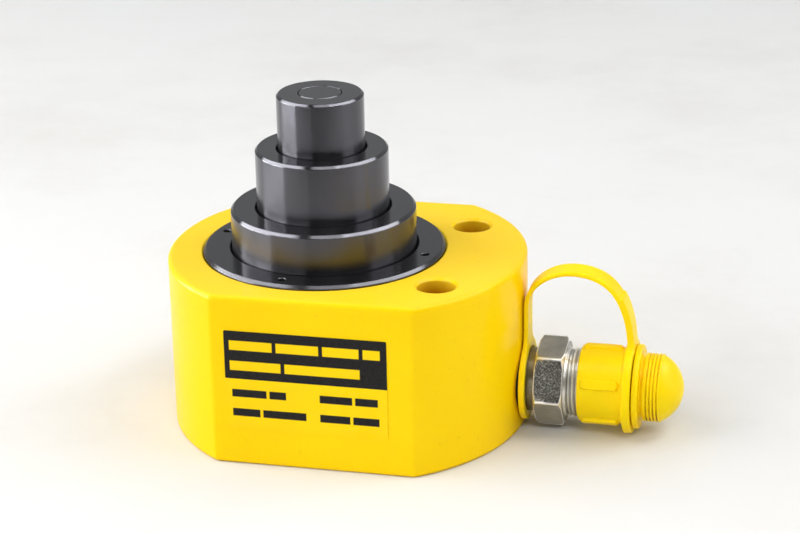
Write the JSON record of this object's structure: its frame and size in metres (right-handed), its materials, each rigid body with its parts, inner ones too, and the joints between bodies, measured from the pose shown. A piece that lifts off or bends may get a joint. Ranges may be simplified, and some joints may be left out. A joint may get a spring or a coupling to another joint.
{
  "type": "telescopic hydraulic cylinder",
  "caption": "Low-profile telescopic hydraulic cylinder: flat-sided round body, nested plungers that step up from a gland nut, and a capped side coupler.",
  "frame": {"origin": "centre of the bore on the base plane the body stands on", "axes": "+Z along the lifting direction, +X towards the oil coupler along the body's long axis, -Y towards the labelled flat"},
  "size_m": [0.1805, 0.1043, 0.117],
  "materials": {
    "yellow_paint": "glossy baked paint",
    "black_chrome": "polished, black",
    "black_steel": "semi-gloss black oxide",
    "zinc_steel": "zinc plated, slightly rough",
    "spring_steel": "drawn wire",
    "seal_rubber": "matt black",
    "wear_plastic": "filled bearing plastic",
    "yellow_plastic": "soft glossy moulding",
    "label_film": "clear film printed with a dark band"
  },
  "bodies": {
    "cylinder": {"cylinder_body": "yellow_paint", "gland_nut": "black_steel", "gland_o_ring": "seal_rubber", "gland_wear_ring": "wear_plastic", "gland_wiper": "seal_rubber", "label_plate": "label_film", "coupler_body": "zinc_steel", "coupler_seal": "seal_rubber", "coupler_seat": "zinc_steel"},
    "stage_1": {"stage_1_plunger": "black_chrome", "stage_1_piston_seal": "seal_rubber", "stage_1_stop_ring": "spring_steel", "stage_1_wiper": "seal_rubber"},
    "stage_2": {"stage_2_plunger": "black_chrome", "stage_2_piston_seal": "seal_rubber", "stage_2_wear_ring": "wear_plastic", "stage_2_stop_ring": "spring_steel", "stage_2_wiper": "seal_rubber"},
    "stage_3": {"stage_3_plunger": "black_chrome", "stage_3_piston_seal": "seal_rubber", "stage_3_wear_ring": "wear_plastic", "stage_3_top_plug": "black_chrome"},
    "check_ball": {"coupler_ball": "spring_steel", "coupler_spring": "spring_steel"},
    "strap": {"dust_cap_strap": "yellow_plastic"},
    "cap": {"dust_cap": "yellow_plastic"}
  },
  "joints": [
    {"name": "stage_1_lift", "type": "slide", "parent": "cylinder", "child": "stage_1", "axis": [0, 0, 1], "range_m": [-0.014, 0]},
    {"name": "stage_2_lift", "type": "slide", "parent": "stage_1", "child": "stage_2", "axis": [0, 0, 1], "range_m": [-0.021, 0]},
    {"name": "stage_3_lift", "type": "slide", "parent": "stage_2", "child": "stage_3", "axis": [0, 0, 1], "range_m": [-0.019, 0]},
    {"name": "check_ball_lift", "type": "slide", "parent": "cylinder", "child": "check_ball", "axis": [-1, 0, 0], "range_m": [0, 0.003], "stiffness_N_per_m": 500, "springref_m": -0.004, "deforming": ["coupler_spring"]},
    {"name": "cap_turn", "type": "hinge", "parent": "strap", "child": "cap", "pos_m": [0.1, 0, 0.01675], "axis": [1, 0, 0], "range_deg": [0, 2880]},
    {"name": "cap_travel", "type": "slide", "parent": "cylinder", "child": "strap", "axis": [1, 0, 0], "range_m": [0, 0.01199], "deforming": ["dust_cap_strap"]}
  ],
  "couplings": [
    {"joint": "cap_turn", "follows": "cap_travel", "rad_per_m": 4188.8}
  ]
}
